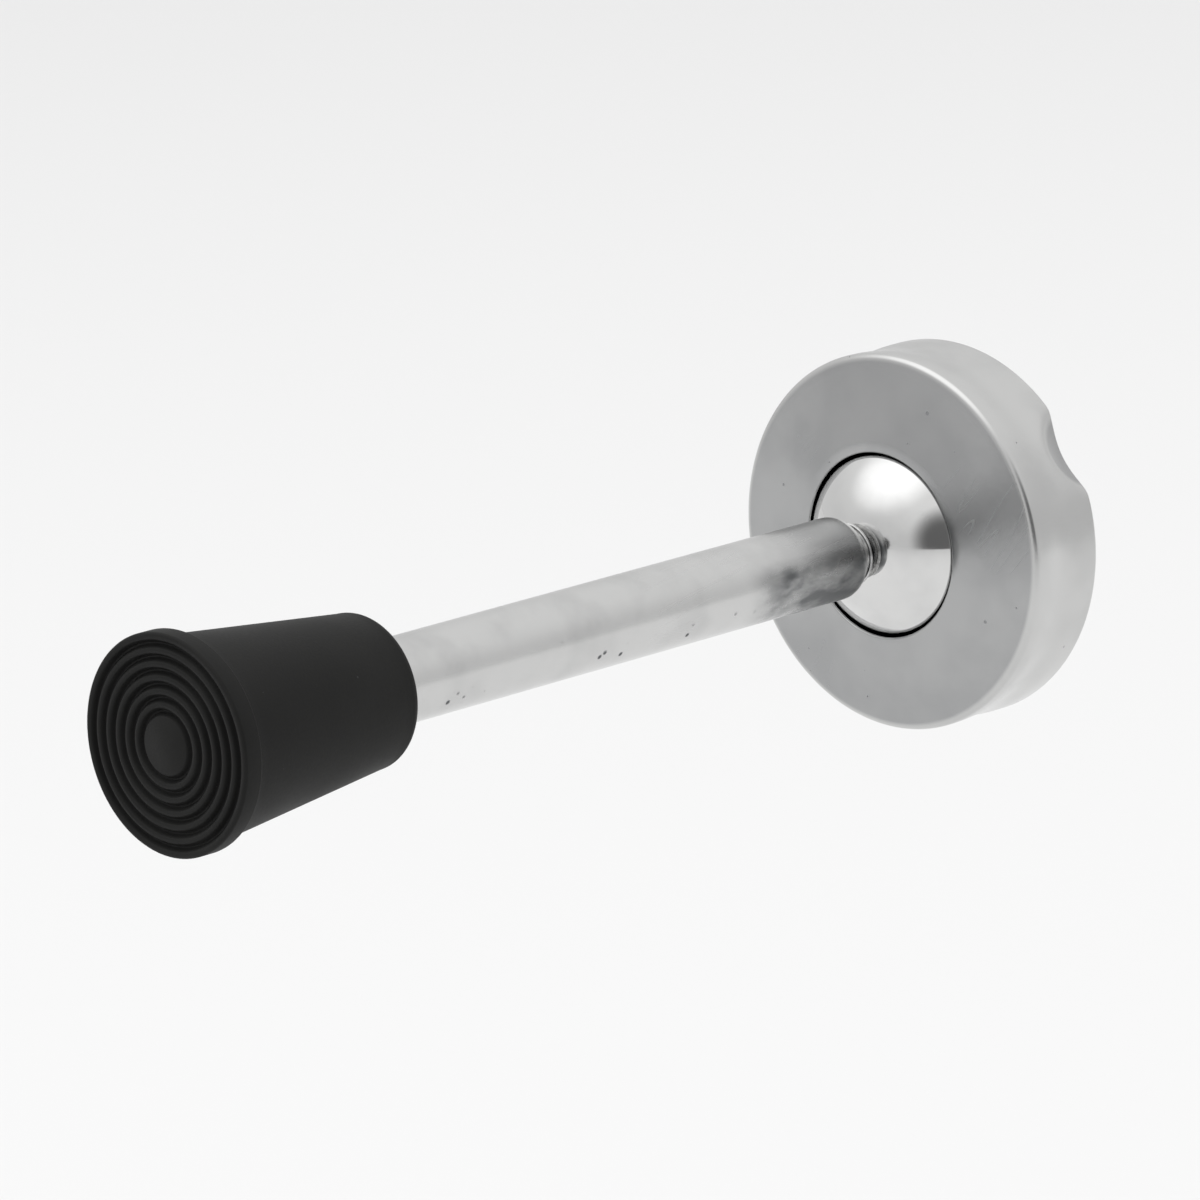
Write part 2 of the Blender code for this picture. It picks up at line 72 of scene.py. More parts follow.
NOTCH_TAIL = 0.025   # the bend left at that reach, taken off so that it starts from nothing
NOTCH_DRAW = 1.02
NOTCH_METAL = 0.15   # the least thickness left behind the notch
INNER_WALL_MARGIN = 0.1

BALL_R = 16.4
BALL_WALL = 2.0
PIVOT_U = 5.2
CAP_TOP_ANGLE = 91.0
CAP_BOTTOM_ANGLE = 57.0
CAP_SKIRT_ANGLE = -8.0     # where the spun cap ends, before its slanted cut
STEM_R = 3.9
STEM_HIGH = 9.0            # the spun part of the stem ends here above the pivot, and a bar goes on
STEM_OVERLAP = 1.0
STEM_LOW = -0.2
STEM_INSET = 0.01
LUG_R = 3.1
LUG_HALF_X = 3.95
PIN_HOLE_R = 1.75
PIN_DRILL = 12.0
STUD_HOLE_R = 2.75
STUD_HOLE_SPARE = 0.35

NECK_R = 3.8
NECK_WAIST = 0.25
NECK_STEPS = 16
STUD_R = 2.4
STUD_CHAMFER = 0.4
STUD_U = (-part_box("neck_stud")[1][1] / MM, -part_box("neck_stud")[0][1] / MM)
COLLAR_U = (-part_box("stud_collar")[1][1] / MM, -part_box("stud_collar")[0][1] / MM)
COLLAR_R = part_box("stud_collar")[1][0] / MM
COLLAR_ROUND = 0.22
COLLAR_CLEARANCE = 0.05
TUBE_U = (-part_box("arm_tube")[1][1] / MM, -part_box("arm_tube")[0][1] / MM)
TUBE_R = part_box("arm_tube")[1][0] / MM
TUBE_IN_R = 4.8
TUBE_EDGE_ROUND = 0.3
SHOULDER_ROUND = 2.4
SHOULDER_WALL = 1.6
NECK_SINK = 0.2      # how far the neck reaches into the ball
NECK_U = (PIVOT_U + BALL_R - NECK_SINK, TUBE_U[0])

FERRULE_U = (-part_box("rubber_ferrule")[1][1] / MM, -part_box("rubber_ferrule")[0][1] / MM)
FERRULE_SMALL_R = 10.75
FERRULE_LARGE_R = 14.0
FERRULE_END_ROUND = 1.5
LIP_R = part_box("rubber_ferrule")[1][0] / MM
LIP_H = 3.0
LIP_FACE_ROUND = 0.45
LIP_BACK_ROUND = 0.3
LIP_ROOT = {"out": 0.12, "back": 0.15, "taper_back": 0.5}   # the small fillet where lip meets taper
FOOT_GROOVES = (0.30, 0.42, 0.54, 0.66, 0.78, 0.90)         # middles, as shares of the lip's radius
GROOVE_HALF = 0.62
GROOVE_DEPTH = 0.85
GROOVE_STEPS = 12
BORE_R = 6.35
BORE_MOUTH_ROUND = 0.6
BORE_SPARE = 2.0     # room past the arm's end for the steel washer
BORE_END_U = TUBE_U[1] + BORE_SPARE

FINE = 256           # sides of the large turned pieces
MEDIUM = 128
BAR_SIDES = 64
WELD = 0.0005        # points nearer than this are one

# ---- painted reflection and real nicks on the arm, in metres of Y and Z: an edge fades in from its first value to its second ----
# where the arm is painted darker as a reflection of the ball and rose
PAINTED_REFLECTION_PATCH = {"along": (-0.051, -0.040), "height": (0.0042, 0.0012)}
NICK_ROW = {"from_below": (-0.0042, -0.0034), "from_above": (-0.0012, -0.0022),
            "from_foot": (-0.118, -0.110), "from_ball": (-0.046, -0.056)}


# ---- shader building ----
class Signal:
    """A number that varies over a surface. Arithmetic on it adds Math nodes."""

    def __init__(self, finish, socket):
        self.finish = finish
        self.socket = socket

    def __add__(self, other):
        return self.finish.math("ADD", self, other)

    __radd__ = __add__

    def __sub__(self, other):
        return self.finish.math("SUBTRACT", self, other)

    def __rsub__(self, other):
        return self.finish.math("SUBTRACT", other, self)

    def __mul__(self, other):
        return self.finish.math("MULTIPLY", self, other)

    __rmul__ = __mul__

    def __abs__(self):
        return self.finish.math("ABSOLUTE", self)


class Wiring:
    """A node tree, with the nodes and the sums that every finish and the surround use."""

    def __init__(self, tree):
        self.tree = tree
        self.place = None

    def node(self, kind, settings=None, inputs=None, output=0):
        """Any node: its settings first, then the values or links of its sockets."""
        node = self.tree.nodes.new(kind)
        for key, value in (settings or {}).items():
            setattr(node, key, value)
        for key, value in (inputs or {}).items():
            if isinstance(value, Signal):
                self.tree.links.new(value.socket, node.inputs[key])
            else:
                node.inputs[key].default_value = value
        return Signal(self, node.outputs[output])

    def math(self, operation, *values):
        """A sum on signals and plain numbers."""
        return self.node("ShaderNodeMath", {"operation": operation}, dict(enumerate(values)))

    def mapped(self, stretch=(1, 1, 1), turn=(0, 0, 0), shift=(0, 0, 0)):
        """Object coordinates in which a pattern is shifted, turned and drawn out by stretch."""
        return self.node("ShaderNodeMapping", {"vector_type": "TEXTURE"}, {
            "Vector": self.place, "Scale": stretch, "Rotation": turn, "Location": shift})

    def noise(self, scale, detail, where=None):
        """Cloudy noise from 0 to 1: a larger scale is finer, and detail adds smaller clouds."""
        return self.node("ShaderNodeTexNoise", {}, {
            "Vector": where or self.place, "Scale": scale, "Detail": detail}, "Fac")

    def steps(self, signal, low, high):
        """Rises from 0 to 1 while the signal goes from low to high, and is held there."""
        return self.node("ShaderNodeMapRange", {"interpolation_type": "SMOOTHSTEP"}, {
            "Value": signal, "From Min": low, "From Max": high}, "Result")

    def spots(self, scale, size, share, shift=(0, 0, 0)):
        """Round marks: size is a share of a cell, and only some cells have one."""
        where = self.mapped(shift=shift)
        cells = {"Vector": where, "Scale": scale}
        near = self.node("ShaderNodeTexVoronoi", {}, cells, "Distance")
        luck = self.node("ShaderNodeTexVoronoi", {}, cells, "Color")
        luck = self.node("ShaderNodeSeparateColor", {}, {"Color": luck}, "Red")
        return self.steps(near, size, size * 0.4) * self.steps(luck, 1 - share, 1 - share + 0.01)

    def scratches(self, fineness, stretch, turn, share, shift=(0, 0, 0)):
        """Straight hairlines: the middle line of a drawn-out noise, kept only in patches."""
        where = self.mapped(stretch, turn, shift)
        line = self.steps(abs(self.noise(fineness, 0.0, where) - 0.5), 0.012, 0.003)
        patch = self.noise(60, 1.0, self.mapped(shift=shift))
        return line * self.steps(patch, 1 - share, 1.06 - share)

    def axis(self, letter):
        """One object coordinate, in metres."""
        return self.node("ShaderNodeSeparateXYZ", {}, {"Vector": self.place}, letter)


class Finish(Wiring):
    """One material: a Principled shader whose constants are set on its own sockets."""

    def __init__(self, name, colour, roughness, metallic=0.0, **constants):
        self.material = bpy.data.materials.new(name)
        self.material.use_nodes = True
        super().__init__(self.material.node_tree)
        self.shader = self.tree.nodes["Principled BSDF"]
        self.colour = colour
        self.shader.inputs["Base Color"].default_value = (*colour, 1.0)
        self.shader.inputs["Roughness"].default_value = roughness
        self.shader.inputs["Metallic"].default_value = metallic
        for socket, value in constants.items():
            self.shader.inputs[socket.replace("_", " ")].default_value = value
        self.place = self.node("ShaderNodeTexCoord", output="Object")

    def feed(self, socket, signal):
        """Lets a signal drive a socket of the shader."""
        self.tree.links.new(signal.socket, self.shader.inputs[socket])

    def tint(self, amount, other):
        """Base colour that goes from the finish's own towards another by a signal."""
        mixed = self.node("ShaderNodeMix", {"data_type": "RGBA"}, {
            0: amount, 6: (*self.colour, 1.0), 7: (*other, 1.0)}, 2)
        self.feed("Base Color", mixed)

    def relief(self, height, distance):
        """Surface relief; distance is the height in metres of a signal of 1."""
        bump = self.node("ShaderNodeBump", {}, {
            "Height": height, "Distance": distance, "Strength": 1.0}, "Normal")
        self.feed("Normal", bump)

    def radius(self):
        """Distance from the arm's axis, in metres."""
        flat = self.node("ShaderNodeVectorMath", {"operation": "MULTIPLY"}, {
            0: self.place, 1: (1.0, 0.0, 1.0)})
        return self.node("ShaderNodeVectorMath", {"operation": "LENGTH"}, {0: flat}, "Value")


def turned_lines(finish, signal, scale, detail=2.0):
    """Noise that changes only with one number, such as the radius: fine turned lines."""
    where = finish.node("ShaderNodeCombineXYZ", {}, {"X": signal})
    return finish.noise(scale, detail, where)


# ---- finishes ----
def satin_rose_steel():
    """Satin steel of the rose: a finely scratched face painted darker as shade against the brighter
    side, cloudy polish and pits.
    """
    steel = Finish("satin_rose_steel", (0.60, 0.60, 0.595), 0.22, 1.0)
    # the face inside the rim: its colour is painted darker as shade, and its hairlines are real
    shaded_face = steel.steps(steel.radius(), (ROSE_R - 0.5) * MM, (ROSE_R - 1.2) * MM)
    cloud = steel.noise(65, 4.0)
    fine_cloud = steel.noise(420, 3.0)
    lines = turned_lines(steel, steel.radius(), 5200, 1.0)
    pits = steel.spots(260, 0.10, 0.12) + steel.spots(620, 0.13, 0.05, (0.3, 0, 0))
    hair = shaded_face * steel.scratches(480, (1, 1, 60), (0, 0.6, 0), 0.42)
    worn = steel.steps(cloud, 0.36, 0.66)
    # painted shade: the face is darkened against the side wall, which the light leaves brighter; the
    # worn clouds and pits darken it for real
    steel.tint(shaded_face * 0.58 + worn * 0.18 + pits * 0.7, (0.29, 0.295, 0.30))
    steel.feed("Roughness", 0.15 + worn * 0.08 + fine_cloud * 0.06 + hair * 0.10 + pits * 0.3)
    steel.relief(fine_cloud * 0.22 + lines * 0.10 - pits * 1.2 - hair * 0.25, 0.000012)
    return steel.material


def ball_chrome():
    """Mirror chrome of the ball with faint smudges and a few hairlines."""
    chrome = Finish("ball_chrome", (0.70, 0.70, 0.695), 0.08, 1.0)
    smudge = chrome.steps(chrome.noise(130, 4.0), 0.45, 0.75)
    hair = chrome.scratches(600, (1, 1, 50), (0, 1.1, 0), 0.42)
    chrome.tint(smudge * 0.5, (0.58, 0.58, 0.58))
    chrome.feed("Roughness", 0.06 + smudge * 0.07 + hair * 0.12)
    chrome.relief(smudge * 0.2 - hair * 0.3, 0.000006)
    return chrome.material


def arm_steel():
    """Drawn and polished tube: draw lines, a painted dark reflection by the ball that is also rougher,
    and a row of nicks below.
    """
    steel = Finish("arm_steel", (0.62, 0.62, 0.615), 0.17, 1.0)
    drawn = steel.noise(1100, 2.0, steel.mapped((1, 30, 1)))
    cloud = steel.steps(steel.noise(95, 4.0), 0.40, 0.70)
    height = steel.axis("Z")
    reach = steel.axis("Y")
    # painted reflection: a dark mottled patch on the arm by the ball stands in for the ball and rose
    # mirrored there, and is made rougher too
    by_ball = steel.steps(reach, *PAINTED_REFLECTION_PATCH["along"]) * steel.steps(height, *PAINTED_REFLECTION_PATCH["height"])
    patchy = steel.steps(steel.noise(260, 5.0, steel.mapped((1, 2.2, 1))), 0.38, 0.62)
    painted_reflection = by_ball * (0.30 + patchy * 0.70)
    low_row = (steel.steps(height, *NICK_ROW["from_below"])
               * steel.steps(height, *NICK_ROW["from_above"])
               * steel.steps(reach, *NICK_ROW["from_foot"])
               * steel.steps(reach, *NICK_ROW["from_ball"]))
    row = steel.spots(520, 0.26, 0.40, (0.05, 0.02, 0)) * low_row
    nicks = steel.spots(330, 0.12, 0.05) + row
    hair = steel.scratches(700, (1, 60, 1), (0.10, 0, 0.08), 0.44)
    # colour: random clouds, the painted dark reflection by the ball, and real nicks
    steel.tint(cloud * 0.15 + painted_reflection * 0.85 + nicks, (0.13, 0.135, 0.14))
    steel.feed("Roughness", 0.19 + drawn * 0.06 + painted_reflection * 0.14 + nicks * 0.3 + hair * 0.1)
    steel.relief(drawn * 0.25 + patchy * painted_reflection * 0.35 - nicks * 1.5 - hair * 0.3, 0.000012)
    return steel.material


def neck_chrome():
    """Turned chrome of the neck and its collar."""
    chrome = Finish("neck_chrome", (0.62, 0.62, 0.615), 0.12, 1.0)
    lines = turned_lines(chrome, chrome.axis("Y"), 9000)
    grime = chrome.steps(chrome.noise(900, 3.0), 0.40, 0.70)
    chrome.tint(grime * 0.6, (0.30, 0.30, 0.30))
    chrome.feed("Roughness", 0.10 + lines * 0.08 + grime * 0.15)
    chrome.relief(lines * 0.5 + grime * 0.2, 0.00001)
    return chrome.material


def moulded_rubber():
    """Black moulded rubber: dull, finely grained, with a pale bloom and a little dust."""
    rubber = Finish("moulded_rubber", (0.0082, 0.0082, 0.0078), 0.6, Specular_IOR_Level=0.16)
    grain = rubber.noise(2600, 4.0)
    cloud = rubber.noise(60, 4.0)
    dust = rubber.spots(300, 0.07, 0.05) + rubber.spots(900, 0.10, 0.03, (0.2, 0.2, 0))
    bloom = rubber.steps(cloud, 0.38, 0.70)
    rubber.tint(bloom * 0.25 + dust * 0.9, (0.030, 0.030, 0.029))
    rubber.feed("Roughness", 0.50 + bloom * 0.10 + grain * 0.10)
    rubber.relief(grain * 0.55 + cloud * 1.5, 0.00003)
    return rubber.material


def zinc_plate():
    """Zinc plating: bluish, patchy and a little crystalline."""
    zinc = Finish("zinc_plate", (0.52, 0.54, 0.57), 0.35, 1.0)
    grain = zinc.node("ShaderNodeTexVoronoi", {}, {"Vector": zinc.place, "Scale": 900}, "Distance")
    cloud = zinc.steps(zinc.noise(240, 5.0), 0.35, 0.70)
    hair = zinc.scratches(700, (1, 1, 20), (0, 0.8, 0), 0.50)
    zinc.tint(cloud * 0.35 + grain * 0.15, (0.40, 0.41, 0.42))
    zinc.feed("Roughness", 0.28 + grain * 0.15 + cloud * 0.10 + hair * 0.1)
    zinc.relief(grain * 0.4 - hair * 0.5, 0.00001)
    return zinc.material


def oiled_spring_steel():
    """Dark hardened steel with an oil film and worn high spots."""
    steel = Finish("oiled_spring_steel", (0.20, 0.20, 0.21), 0.3, 1.0)
    cloud = steel.steps(steel.noise(320, 4.0), 0.40, 0.68)
    grain = steel.noise(2400, 2.0)
    steel.tint(cloud * 0.7, (0.11, 0.105, 0.10))
    steel.feed("Roughness", 0.24 + cloud * 0.14 + grain * 0.08)
    steel.relief(grain * 0.5, 0.000008)
    return steel.material


def seat_nylon():
    """Black nylon with a fine moulded grain, burnished in patches."""
    nylon = Finish("seat_nylon", (0.014, 0.014, 0.015), 0.45)
    grain = nylon.noise(1800, 3.0)
    rubbed = nylon.steps(nylon.noise(200, 3.0), 0.42, 0.66)
    nylon.tint(rubbed * 0.5, (0.024, 0.024, 0.025))
    nylon.feed("Roughness", 0.52 - rubbed * 0.16 + grain * 0.08)
    nylon.relief(grain, 0.000015)
    return nylon.material


def turned_brass():
    """Brass with turning lines and a brown tarnish."""
    brass = Finish("turned_brass", (0.66, 0.48, 0.20), 0.25, 1.0)
    lines = turned_lines(brass, brass.radius(), 7000)
    tarnish = brass.steps(brass.noise(260, 4.0), 0.38, 0.72)
    brass.tint(tarnish * 0.6, (0.38, 0.24, 0.10))
    brass.feed("Roughness", 0.20 + lines * 0.08 + tarnish * 0.16)
    brass.relief(lines * 0.5, 0.00001)
    return brass.material


# ---- outlines: (radius, u) points in millimetres, down the outer side ----
def arc(centre, radius, start, end, count):
    """A round stretch between two angles in degrees, both ends included."""
    points = []
    for i in range(count + 1):
        angle = math.radians(start + (end - start) * i / count)
        x = centre[0] + radius * math.cos(angle)
        points.append((x, centre[1] + radius * math.sin(angle)))
    return points


def along(start, end, count):
    """Evenly spaced points between two, both left out."""
    (r0, u0), (r1, u1) = start, end
    return [(r0 + (r1 - r0) * i / count, u0 + (u1 - u0) * i / count) for i in range(1, count)]


def softened(outline, size, count):
    """The same closed outline with each corner rounded by about a size."""
    points = []
    for i, corner in enumerate(outline):
        here = Vector(corner)
        before = Vector(outline[i - 1]) - here
        after = Vector(outline[(i + 1) % len(outline)]) - here
        reach = min(size, before.length * 0.45, after.length * 0.45)
        first = here + before.normalized() * reach
        last = here + after.normalized() * reach
        for step in range(count + 1):
            t = step / count
            points.append(tuple(first * (1 - t) ** 2 + here * 2 * t * (1 - t) + last * t * t))
    return points


# ---- mesh helpers ----
def finished(shape, name, body, node, material, sharp=40.0):
    """Turns a shape drawn along local Z to its place, and makes it a piece that stands for a node."""
    bmesh.ops.scale(shape, vec=(MM, MM, MM), verts=shape.verts)
    bmesh.ops.transform(shape, matrix=OUTWARD, verts=shape.verts)
    mesh = bpy.data.meshes.new(name)
    shape.to_mesh(mesh)
    shape.free()
    mesh.shade_smooth()
    mesh.set_sharp_from_angle(angle=math.radians(sharp))
    mesh.materials.append(material)
    piece = bpy.data.objects.new(name, mesh)
    bpy.context.scene.collection.objects.link(piece)
    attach(piece, body)
    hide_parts(node)
    return piece


def turned(outline, steps):
    """A closed outline spun about local Z."""
    shape = bmesh.new()
    verts = [shape.verts.new((radius, 0.0, height)) for radius, height in outline]
    edges = [shape.edges.new((verts[i], verts[i + 1])) for i in range(len(verts) - 1)]
    if outline[0][0] > 0.0:
        edges.append(shape.edges.new((verts[-1], verts[0])))
    bmesh.ops.spin(shape, geom=verts + edges, cent=(0, 0, 0), axis=(0, 0, 1),
                   angle=2 * math.pi, steps=steps, use_merge=True)
    bmesh.ops.remove_doubles(shape, verts=shape.verts, dist=WELD)
    bmesh.ops.recalc_face_normals(shape, faces=shape.faces)
    return shape


def bar(radius, low, high, turn, centre):
    """A straight round bar, used to join or to cut."""
    shape = bmesh.new()
    bmesh.ops.create_cone(shape, cap_ends=True, segments=BAR_SIDES, radius1=radius,
                          radius2=radius, depth=high - low)
    bmesh.ops.translate(shape, vec=(0, 0, (high + low) / 2), verts=shape.verts)
    bmesh.ops.transform(shape, matrix=turn, verts=shape.verts)
    bmesh.ops.translate(shape, vec=centre, verts=shape.verts)
    return shape


def combined(shape, other, operation):
    """The union or difference of two shapes, as a new shape."""
    items = []
    for part in (shape, other):
        mesh = bpy.data.meshes.new("draft")
        part.to_mesh(mesh)
        part.free()
        item = bpy.data.objects.new("draft", mesh)
        bpy.context.scene.collection.objects.link(item)
        items.append(item)
    step = items[0].modifiers.new("join", "BOOLEAN")
    step.operation = operation
    step.solver = "EXACT"
    step.object = items[1]
    graph = bpy.context.evaluated_depsgraph_get()
    made = bmesh.new()
    made.from_mesh(items[0].evaluated_get(graph).to_mesh())
    for item in items:
        bpy.data.objects.remove(item)
    return made


ALONG_X = Matrix.Rotation(math.radians(90.0), 4, "Y")


def radial(angle):
    """Turns a bar to lie outwards at an angle round the arm's axis."""
    return Matrix.Rotation(math.radians(angle), 4, "Z") @ ALONG_X


# ---- pieces ----
def rose_outline():
    """From the lip of the opening over the dished face, down the waisted side and back inside."""
    wall_r = ROSE_R - ROSE_WALL
    low, high = COVE_U
    lip = arc((OPENING_R + ROSE_LIP_ROUND, ROSE_LIP_U - ROSE_LIP_ROUND), ROSE_LIP_ROUND, 180, 98, 6)
    edge = arc((ROSE_R - ROSE_EDGE_ROUND, ROSE_RIM_U - ROSE_EDGE_ROUND), ROSE_EDGE_ROUND, 81, 0, 10)
    side = along(edge[-1], (ROSE_R, high), 6)
    for i in range(COVE_STEPS + 1):
        share = i / COVE_STEPS
        side.append((ROSE_R - COVE_DEPTH * math.sin(math.pi * share) ** 2,
                     high + (low - high) * share))
    side += along((ROSE_R, low), (ROSE_R, ROSE_FOOT_ROUND), 8)
    side += arc((ROSE_R - ROSE_FOOT_ROUND, ROSE_FOOT_ROUND), ROSE_FOOT_ROUND, 0, -90, 4)
    inside = [(wall_r, 0.0), (wall_r, ROSE_RIM_U - ROSE_TOP - ROSE_INNER_SLOPE),
              (wall_r - ROSE_INNER_SLOPE, ROSE_RIM_U - ROSE_TOP),
              (OPENING_R + OPENING_STEP, ROSE_LIP_U - ROSE_TOP)]
    return lip + along(lip[-1], edge[0], 10) + edge + side + inside


def scoop_notch(shape):
    """Presses the side wall in where the release notch is, with an eased brim."""
    turn = math.radians(NOTCH["angle"])
    centre = Vector((math.cos(turn), math.sin(turn), 0)) * NOTCH["centre_r"]
    centre.z = NOTCH["centre_u"]
    for vertex in shape.verts:
        radius = vertex.co.xy.length
        depth = NOTCH["radius"] - (vertex.co - centre).length
        if radius < ROSE_R - ROSE_WALL + INNER_WALL_MARGIN or depth <= -NOTCH_REACH:
            continue
        push = 0.5 * (depth + math.sqrt(depth * depth + NOTCH_EASE * NOTCH_EASE))
        push = max(push - NOTCH_TAIL, 0.0)
        vertex.co.xy *= max(radius - push * NOTCH_DRAW, ROSE_R - ROSE_WALL + NOTCH_METAL) / radius


def rose(material):
    """Round cover with its notch and the two holes for the grub screws."""
    shape = turned(rose_outline(), FINE)
    scoop_notch(shape)
    for angle in GRUB_ANGLES:
        hole = bar(GRUB_HOLE_R, *GRUB_DRILL, radial(angle), (0, 0, GRUB_U))
        shape = combined(shape, hole, "DIFFERENCE")
    return finished(shape, "rose_shell", "base", "rose", material)


def ball(material):
    """Hollow cap cut off at a slant behind, with its stem and the lug for the pivot pin."""
    inner_r = BALL_R - BALL_WALL
    stud_top = PIVOT_U + math.sqrt(BALL_R ** 2 - STUD_HOLE_R ** 2)
    polar = math.degrees(math.acos(STUD_HOLE_R / BALL_R))
    stem_polar = math.degrees(math.acos(STEM_R / inner_r))
    outer = arc((0.0, PIVOT_U), BALL_R, polar, CAP_SKIRT_ANGLE, 60)
    inner = arc((0.0, PIVOT_U), inner_r, CAP_SKIRT_ANGLE, stem_polar, 30)
    stud_low = STUD_U[0] - STUD_HOLE_SPARE
    stem_end = PIVOT_U + STEM_HIGH
    outline = ([(0.0, stud_low), (STUD_HOLE_R, stud_low), (STUD_HOLE_R, stud_top)] + outer[1:]
               + inner + [(STEM_R, stem_end), (0.0, stem_end)])
    shape = turned(outline, MEDIUM)
    top = math.radians(CAP_TOP_ANGLE)
    bottom = math.radians(CAP_BOTTOM_ANGLE)
    high_side = Vector((0, math.sin(top), math.cos(top))) * BALL_R
    low_side = Vector((0, -math.sin(bottom), math.cos(bottom))) * BALL_R
    slope = (high_side - low_side).normalized()
    normal = Vector((0, slope.z, -slope.y))
    middle = (high_side + low_side) / 2 + Vector((0, 0, PIVOT_U))
    bmesh.ops.bisect_plane(shape, geom=shape.verts[:] + shape.edges[:] + shape.faces[:],
                           plane_co=middle, plane_no=normal, clear_outer=True)
    rim = [edge for edge in shape.edges if edge.is_boundary]
    bmesh.ops.bridge_loops(shape, edges=rim)
    bmesh.ops.recalc_face_normals(shape, faces=shape.faces)
    stem = bar(STEM_R - STEM_INSET, STEM_LOW, STEM_HIGH + STEM_OVERLAP, Matrix.Identity(4),
               (0, 0, PIVOT_U))
    shape = combined(shape, stem, "UNION")
    lug = bar(LUG_R, -LUG_HALF_X, LUG_HALF_X, ALONG_X, (0, 0, PIVOT_U))
    shape = combined(shape, lug, "UNION")
    hole = bar(PIN_HOLE_R, -PIN_DRILL, PIN_DRILL, ALONG_X, (0, 0, PIVOT_U))
    shape = combined(shape, hole, "DIFFERENCE")
    return finished(shape, "ball_cap", "arm", "ball", material)


def neck_stud(material):
    """Stud with a slightly waisted neck where it shows, between the ball and the arm."""
    low, high = NECK_U
    stud_low, stud_high = STUD_U
    neck = []
    for i in range(NECK_STEPS + 1):
        waist = NECK_WAIST * math.sin(math.pi * i / NECK_STEPS)
        neck.append((NECK_R - waist, high + (low - high) * i / NECK_STEPS))
    arm_end = [(0.0, stud_high), (STUD_R - STUD_CHAMFER, stud_high),
               (STUD_R, stud_high - STUD_CHAMFER), (STUD_R, high)]
    ball_end = [(STUD_R, low), (STUD_R, stud_low + STUD_CHAMFER),
                (STUD_R - STUD_CHAMFER, stud_low), (0.0, stud_low)]
    outline = arm_end + neck + ball_end
    return finished(turned(outline, MEDIUM), "turned_neck", "arm", "neck_stud",
                    material)


def stud_collar(material):
    """Thin ring round the neck, with soft edges."""
    low, high = COLLAR_U
    bore_r = NECK_R + COLLAR_CLEARANCE
    outline = [(bore_r, high), (COLLAR_R, high), (COLLAR_R, low), (bore_r, low)]
    return finished(turned(softened(outline, COLLAR_ROUND, 5), MEDIUM), "neck_ring", "arm",
                    "stud_collar", material)


def arm_tube(material):
    """Tube with its ball end turned in to a round shoulder, and a plain cut far end."""
    low, high = TUBE_U
    shoulder = arc((TUBE_R - SHOULDER_ROUND, low + SHOULDER_ROUND), SHOULDER_ROUND, 0, -90, 14)
    far_edge = (TUBE_R - TUBE_EDGE_ROUND, high - TUBE_EDGE_ROUND)
    cut_end = [(TUBE_IN_R, high)] + arc(far_edge, TUBE_EDGE_ROUND, 90, 0, 4)
    shoulder_in = low + SHOULDER_WALL
    outline = (cut_end + along(cut_end[-1], shoulder[0], 24) + shoulder
               + [(STUD_HOLE_R, low), (STUD_HOLE_R, shoulder_in), (TUBE_IN_R, shoulder_in)])
    return finished(turned(outline, MEDIUM), "polished_arm", "arm", "arm_tube",
                    material)


def groove(middle, level):
    """One groove of the foot, with a round bottom and softened brims, from the inside outwards."""
    points = []
    for i in range(GROOVE_STEPS + 1):
        share = i / GROOVE_STEPS * 2 - 1
        dip = GROOVE_DEPTH * (0.5 + 0.5 * math.cos(math.pi * share)) ** 0.7
        points.append((middle + GROOVE_HALF * share, level - dip))
    return points


def rubber_ferrule(material):
    """Tapered foot with a lip, ring grooves in its face and a blind bore for the arm."""
    low, high = FERRULE_U
    lip_back = high - LIP_H
    foot = []
    for share in FOOT_GROOVES:
        foot += groove(share * LIP_R, high)
    lip = arc((LIP_R - LIP_FACE_ROUND, high - LIP_FACE_ROUND), LIP_FACE_ROUND, 90, 0, 6)
    lip += arc((LIP_R - LIP_BACK_ROUND, lip_back + LIP_BACK_ROUND), LIP_BACK_ROUND, 0, -80, 5)
    lip_root = (FERRULE_LARGE_R + LIP_ROOT["out"], lip_back - LIP_ROOT["back"])
    taper_top = (FERRULE_LARGE_R, lip_back - LIP_ROOT["taper_back"])
    small_edge = arc((FERRULE_SMALL_R - FERRULE_END_ROUND, low + FERRULE_END_ROUND),
                     FERRULE_END_ROUND, 6, -90, 12)
    mouth = arc((BORE_R + BORE_MOUTH_ROUND, low + BORE_MOUTH_ROUND), BORE_MOUTH_ROUND, -90, -180, 5)
    outline = ([(0.0, high)] + foot + lip + [lip_root, taper_top]
               + along(taper_top, small_edge[0], 20) + small_edge + mouth
               + [(BORE_R, BORE_END_U), (0.0, BORE_END_U)])
    return finished(turned(outline, FINE), "moulded_foot", "arm", "rubber_ferrule",
                    material, 60.0)


# ---- finishes of the pieces that keep their shape ----
def paint(material, *nodes):
    """Gives pieces that keep their own shape a finish."""
    for name in nodes:
        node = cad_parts[name]
        node.data.materials.clear()
        node.data.materials.append(material)


# ---- stage, in metres ----
FLOOR_Z = -0.19
FLOOR_R = 4.0
KEY_PLACE = (-0.40, -0.55, 1.25)
BACK_PLACE = (0.6, 1.2, 0.8)
LIT_POINT = Vector((0.0, -0.06, 0.0))
DARK_SIDE = (0.80, -0.50, 0.10)
CAMERA_ANGLES = (43.0, 15.0)
CAMERA_DISTANCE = 1.0
AIM_LEFT = 0.0414          # from the middle of the rose's face, across and down the view
AIM_DOWN = 0.0082
LENS = 209.0               # millimetres, on a sensor as wide as a film frame
SENSOR = 36.0


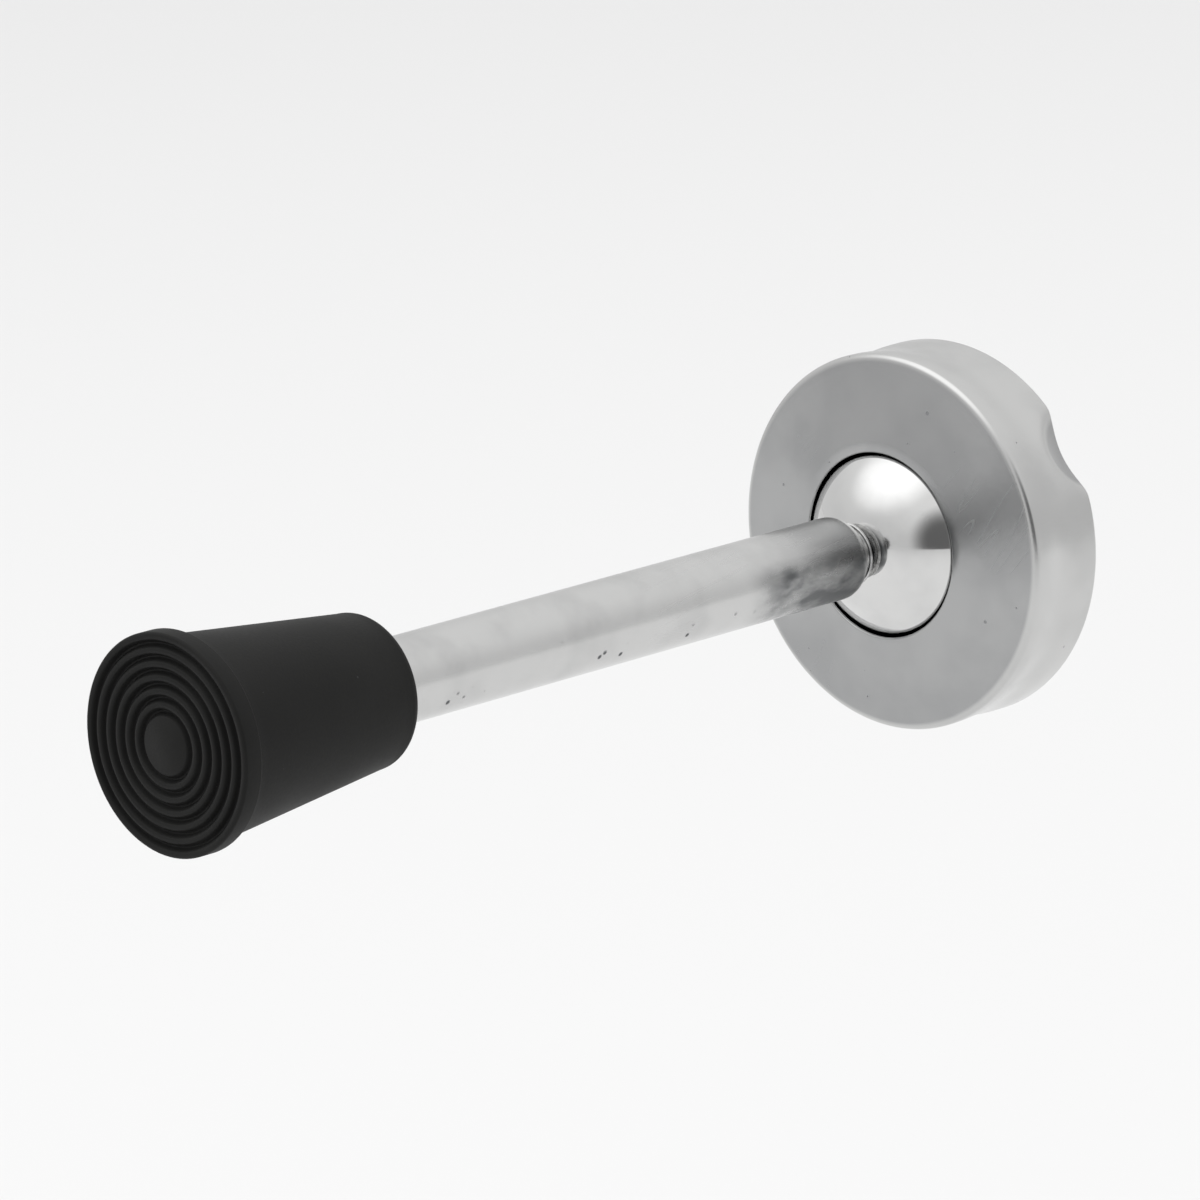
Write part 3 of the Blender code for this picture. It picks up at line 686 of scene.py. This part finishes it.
def floor_and_lights():
    """Pale floor below the arm's lowest reach, two broad soft lights and the surround."""
    shape = bmesh.new()
    bmesh.ops.create_circle(shape, cap_ends=True, segments=96, radius=FLOOR_R)
    bmesh.ops.translate(shape, vec=(0, 0, FLOOR_Z), verts=shape.verts)
    mesh = bpy.data.meshes.new("floor")
    shape.to_mesh(mesh)
    shape.free()
    floor = bpy.data.objects.new("floor", mesh)
    bpy.context.scene.collection.objects.link(floor)
    mesh.materials.append(Finish("pale_floor", (0.74, 0.74, 0.74), 0.9).material)

    soft_light("key", KEY_PLACE, 2.0, 7.5)
    soft_light("back", BACK_PLACE, 1.6, 4.5)
    surround()


def soft_light(name, place, size, power):
    """A round lamp that lights the object without showing in its polished faces."""
    lamp = bpy.data.lights.new(name, "AREA")
    lamp.shape = "DISK"
    lamp.size = size
    lamp.energy = power
    item = bpy.data.objects.new(name, lamp)
    item.location = place
    item.rotation_euler = (LIT_POINT - Vector(place)).to_track_quat("-Z", "Y").to_euler()
    item.visible_glossy = False
    bpy.context.scene.collection.objects.link(item)


def facing(wiring, where, direction):
    """How nearly a direction points the same way as another: the cosine between them."""
    return wiring.node("ShaderNodeVectorMath", {"operation": "DOT_PRODUCT"}, {
        0: where, 1: tuple(Vector(direction).normalized())}, "Value")


def surround():
    """Pale room: brighter overhead, a broad glow towards the key lamp, and a dark front right."""
    world = bpy.data.worlds.new("pale_room")
    bpy.context.scene.world = world
    world.use_nodes = True
    room = Wiring(world.node_tree)
    where = room.node("ShaderNodeTexCoord", output="Generated")
    height = room.node("ShaderNodeSeparateXYZ", {}, {"Vector": where}, "Z")
    overhead = room.steps(height, 0.10, 0.75)
    shade = room.steps(facing(room, where, DARK_SIDE), 0.80, 0.97)
    glow = room.steps(facing(room, where, KEY_PLACE), 0.72, 1.0)
    light = (0.75 + overhead * 0.19 + glow * 0.62) * (1 - shade * 0.80)
    background = world.node_tree.nodes["Background"]
    background.inputs["Color"].default_value = (1.0, 1.0, 1.0, 1.0)
    world.node_tree.links.new(light.socket, background.inputs["Strength"])


def camera():
    """Long lens from the front right, a little above the arm."""
    azimuth, elevation = (math.radians(angle) for angle in CAMERA_ANGLES)
    back = Vector((math.sin(azimuth) * math.cos(elevation),
                   -math.cos(azimuth) * math.cos(elevation), math.sin(elevation)))
    right = Vector((math.cos(azimuth), math.sin(azimuth), 0.0))
    up = back.cross(right)
    rose_face = Vector((0.0, -ROSE_RIM_U * MM, 0.0))
    aim = rose_face - right * AIM_LEFT - up * AIM_DOWN
    lens = bpy.data.cameras.new("camera")
    lens.lens = LENS
    lens.sensor_width = SENSOR
    lens.clip_start = 0.05
    lens.clip_end = 20.0
    item = bpy.data.objects.new("camera", lens)
    item.location = aim + back * CAMERA_DISTANCE
    item.rotation_euler = (-back).to_track_quat("-Z", "Y").to_euler()
    bpy.context.scene.collection.objects.link(item)
    bpy.context.scene.camera = item


# ---- making ----
bpy.context.scene.view_settings.view_transform = "Standard"
camera()
floor_and_lights()

rose(satin_rose_steel())
ball(ball_chrome())
neck = neck_chrome()
neck_stud(neck)
stud_collar(neck)
arm_tube(arm_steel())
rubber_ferrule(moulded_rubber())

paint(zinc_plate(), "base_plate", "rotor", "pivot_pin", "ferrule_washer")
paint(oiled_spring_steel(), "rose_screw_1", "rose_screw_2", "retaining_ring", "wave_washer",
      "pin_clip")
paint(seat_nylon(), "seat_ring", "slip_washer")
paint(turned_brass(), "friction_washer_left", "friction_washer_right", "tube_bush")
